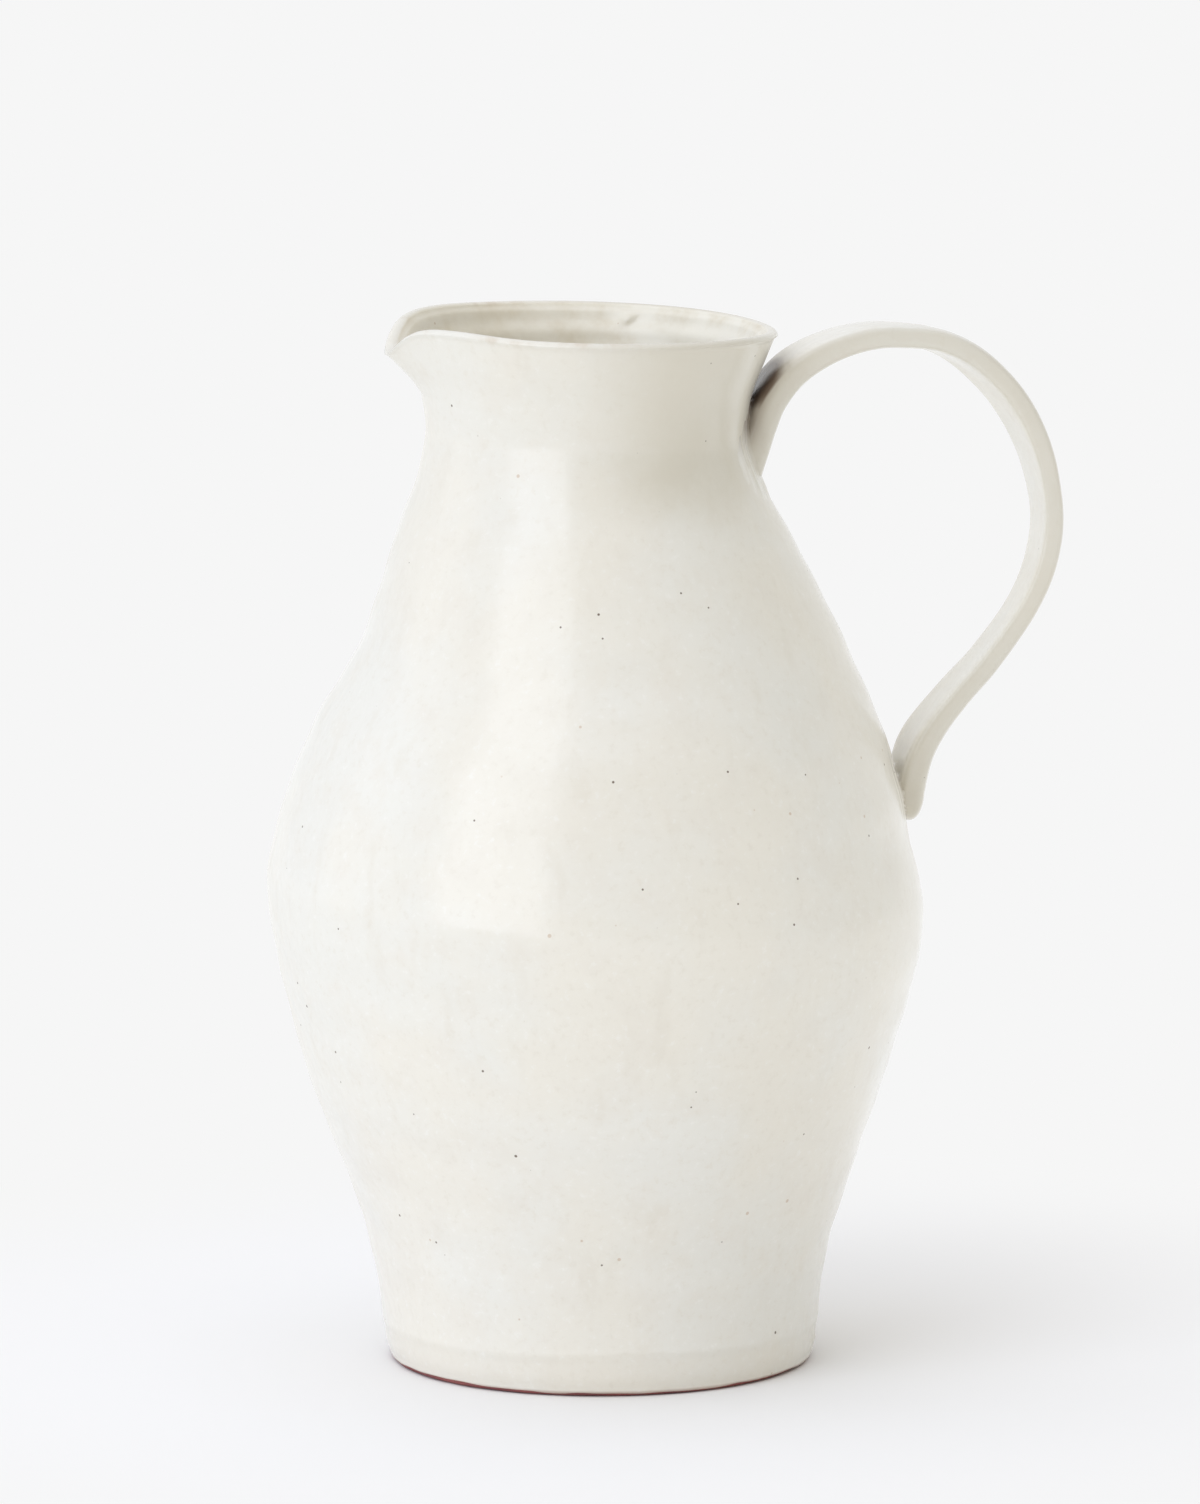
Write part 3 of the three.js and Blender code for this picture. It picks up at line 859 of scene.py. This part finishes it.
def glaze_material(name, thrown):
    """Off-white glaze, either of the thrown vessel or of the strap and its clay joints."""
    material, nodes = new_material(name)
    shader = nodes.principled()
    coordinates = nodes.add("TexCoord")
    place = coordinates.outputs["Object"]
    normal = coordinates.outputs["Normal"]
    flow = nodes.noise(place, 85, 4.0, 0.6)
    colour = mottled_glaze(nodes, place, flow)
    if thrown:
        colour = vessel_tones_and_shade(nodes, colour, flow, place, normal)
        wedge = painted_wedge_shade(nodes, place, normal, WEDGE_SHADE_WALL_WAY)
    else:
        # painted shade on the strap's narrow sides
        colour = painted_strap_shade(nodes, colour, normal)
        wedge = painted_wedge_shade(nodes, place, normal, WEDGE_SHADE_STRAP_WAY)
        wedge = nodes.math("MAXIMUM", wedge, painted_crease_shade(nodes, place))
    # painted shade in the wedge and the crease darkens the glaze
    colour = nodes.mix(wedge, colour, WEDGE_PAINTED_SHADE)

    iron = specks(nodes, place, SPECK_CELL, SPECK_RADIUS, 0.0)
    rust = specks(nodes, place, RUST_CELL, RUST_RADIUS, RUST_SHIFT)
    colour = nodes.mix(nodes.math("MULTIPLY", rust, 0.45), colour, RUST)
    colour = nodes.mix(nodes.math("MULTIPLY", iron, 0.85), colour, IRON)
    nodes.link(colour, shader.inputs["Base Color"])
    nodes.link(nodes.spread(flow, 0.3, 0.7, 0.165, 0.265), shader.inputs["Roughness"])
    shader.inputs["IOR"].default_value = 1.5

    peel = nodes.math("MULTIPLY", nodes.noise(place, 260, 2.0), 0.4)
    surface = nodes.math("ADD", peel, nodes.noise(place, 60, 2.0))
    surface = nodes.math("SUBTRACT", surface, nodes.math("MULTIPLY", iron, 0.25))
    nodes.link(nodes.bump(surface, 0.6, 0.0003), shader.inputs["Normal"])
    return material


def clay_material():
    """Dark red stoneware with grit in it."""
    material, nodes = new_material("bare_red_clay")
    shader = nodes.principled()
    place = nodes.add("TexCoord").outputs["Object"]
    patches = nodes.noise(place, 60, 4.0)
    grit = nodes.noise(place, 1400, 2.0, 0.7)
    colour = nodes.mix(nodes.spread(patches, 0.3, 0.7), CLAY_DARK, CLAY_RED)
    colour = nodes.mix(nodes.spread(grit, 0.60, 0.75, 0, 0.6), colour, CLAY_GROG)
    nodes.link(colour, shader.inputs["Base Color"])
    nodes.link(nodes.spread(grit, 0.3, 0.7, 0.78, 0.92), shader.inputs["Roughness"])
    nodes.link(nodes.bump(grit, 0.6, 0.00015), shader.inputs["Normal"])
    return material


# ---------------------------------------------------------------------------
# Stage, light and camera

def from_camera(degrees_left):
    """Horizontal direction from the pitcher, so many degrees left of the camera's side."""
    turn = math.radians(CAMERA_AZIMUTH - degrees_left)
    return Vector((math.sin(turn), -math.cos(turn), 0))


def four_ways(nodes, direction, front, left, behind, right):
    """A tone that changes smoothly round the pitcher between four sides."""
    axes = nodes.add("SeparateXYZ")
    nodes.link(direction, axes.inputs[0])
    up = axes.outputs["Z"]
    level = nodes.math("SUBTRACT", 1.0001, nodes.math("MULTIPLY", up, up))
    total = None
    for degrees_left, tone in ((0, front), (90, left), (180, behind), (270, right)):
        facing = nodes.vector("DOT_PRODUCT", direction, from_camera(degrees_left))
        facing = nodes.math("MAXIMUM", facing, 0.0)
        share = nodes.math("DIVIDE", nodes.math("MULTIPLY", facing, facing), level)
        lit = nodes.scaled(tone, share)
        total = lit if total is None else nodes.vector("ADD", total, lit)
    return total


def make_floor():
    """A pale floor, lit near the pitcher and turning into the plain background further out."""
    bpy.ops.mesh.primitive_circle_add(vertices=96, radius=FLOOR_RADIUS, fill_type="NGON",
                                      location=(0, 0, -FLOOR_DROP))
    floor = bpy.context.object
    floor.name = "studio_floor"
    material, nodes = new_material("pale_floor")
    place = nodes.add("TexCoord").outputs["Object"]
    near_shader = nodes.add("BsdfDiffuse")
    near_shader.inputs["Color"].default_value = (*FLOOR_TONE, 1)
    glow = four_ways(nodes, nodes.vector("NORMALIZE", place),
                     FLOOR_FRONT, FLOOR_LEFT, FLOOR_BEHIND, FLOOR_RIGHT)
    seen = nodes.add("LightPath").outputs["Is Camera Ray"]
    far_shader = nodes.add("Emission")
    nodes.link(nodes.mix(seen, glow, (BACKGROUND,) * 3), far_shader.inputs["Color"])
    blend = nodes.add("MixShader")
    nodes.link(nodes.spread(nodes.vector("LENGTH", place), *FLOOR_FADE), blend.inputs[0])
    nodes.link(near_shader.outputs[0], blend.inputs[1])
    nodes.link(far_shader.outputs[0], blend.inputs[2])
    output = nodes.add("OutputMaterial")
    nodes.link(blend.outputs[0], output.inputs["Surface"])
    floor.data.materials.append(material)


def make_room():
    """Plain background for the camera; four walls and a ceiling for the glaze to reflect."""
    world = bpy.data.worlds.new("studio")
    scene.world = world
    world.use_nodes = True
    nodes = Nodes(world.node_tree)
    direction = nodes.add("TexCoord").outputs["Generated"]
    axes = nodes.add("SeparateXYZ")
    nodes.link(direction, axes.inputs[0])
    up = axes.outputs["Z"]
    right = nodes.mix(nodes.spread(up, *ROOM_RIGHT_RISE), ROOM_RIGHT_LOW, ROOM_RIGHT_HIGH)
    walls = four_ways(nodes, direction, ROOM_FRONT, ROOM_LEFT, ROOM_BEHIND, right)
    tone = nodes.mix(nodes.spread(up, *ROOM_TOP_RISE), walls, ROOM_TOP)
    seen = nodes.add("LightPath").outputs["Is Camera Ray"]
    tone = nodes.mix(seen, tone, (BACKGROUND,) * 3)
    shader = nodes.add("Background")
    nodes.link(tone, shader.inputs["Color"])
    output = nodes.add("OutputWorld")
    nodes.link(shader.outputs[0], output.inputs["Surface"])


def make_softbox(name, degrees_left, width, low, high, distance, radiance):
    light = bpy.data.lights.new(name, "AREA")
    light.shape = "RECTANGLE"
    light.size = width
    light.size_y = high - low
    strongest = max(radiance)
    light.color = [part / strongest for part in radiance]
    light.energy = strongest * math.pi * width * (high - low)
    lamp = bpy.data.objects.new(name, light)
    lamp.location = from_camera(degrees_left) * distance + Vector((0, 0, (low + high) / 2))
    facing = Vector((0, 0, lamp.location.z)) - lamp.location
    lamp.rotation_euler = facing.to_track_quat("-Z", "Y").to_euler()
    lamp.visible_camera = False
    scene.collection.objects.link(lamp)


def make_camera():
    low, high = cad_box
    target = Vector((0, 0, low.z + (high.z - low.z) * AIM_PART))
    rise = math.radians(CAMERA_ELEVATION)
    back = from_camera(0) * math.cos(rise) + Vector((0, 0, math.sin(rise)))
    camera = bpy.data.objects.new("camera", bpy.data.cameras.new("camera"))
    camera.data.lens = CAMERA_LENS
    camera.data.sensor_width = SENSOR_WIDTH
    camera.data.clip_end = 200
    camera.location = target + back * CAMERA_DISTANCE
    camera.rotation_euler = (-back).to_track_quat("-Z", "Y").to_euler()
    scene.collection.objects.link(camera)
    scene.camera = camera


# ---------------------------------------------------------------------------
# Build

glaze = glaze_material("off_white_glaze", False)
vessel_glaze = glaze_material("off_white_glaze_thrown", True)
clay = clay_material()

vessel = make_vessel(vessel_glaze)
strap = make_strap(glaze)
foot = make_foot(clay)

wall_tree = tree_of(vessel, beside_strap)
strap_tree = tree_of(strap, lambda middle, normal: True)
upper = make_joint("upper_clay_joint", wall_tree, strap_tree, material=glaze, **UPPER_JOINT)
lower = make_joint("lower_clay_joint", wall_tree, strap_tree, material=glaze, **LOWER_JOINT)

for piece, node, finish in ((vessel, "vessel", "glaze"), (strap, "strap_handle", "glaze"),
                            (upper, "upper_luting", "glaze"), (lower, "lower_luting", "glaze"),
                            (foot, "bare_foot", "bare_clay")):
    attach(piece, "root")
    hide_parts(node)

make_floor()
make_room()
make_softbox("window_left_front", *SOFTBOX_FRONT)
make_softbox("window_left", *SOFTBOX_SIDE)
make_camera()
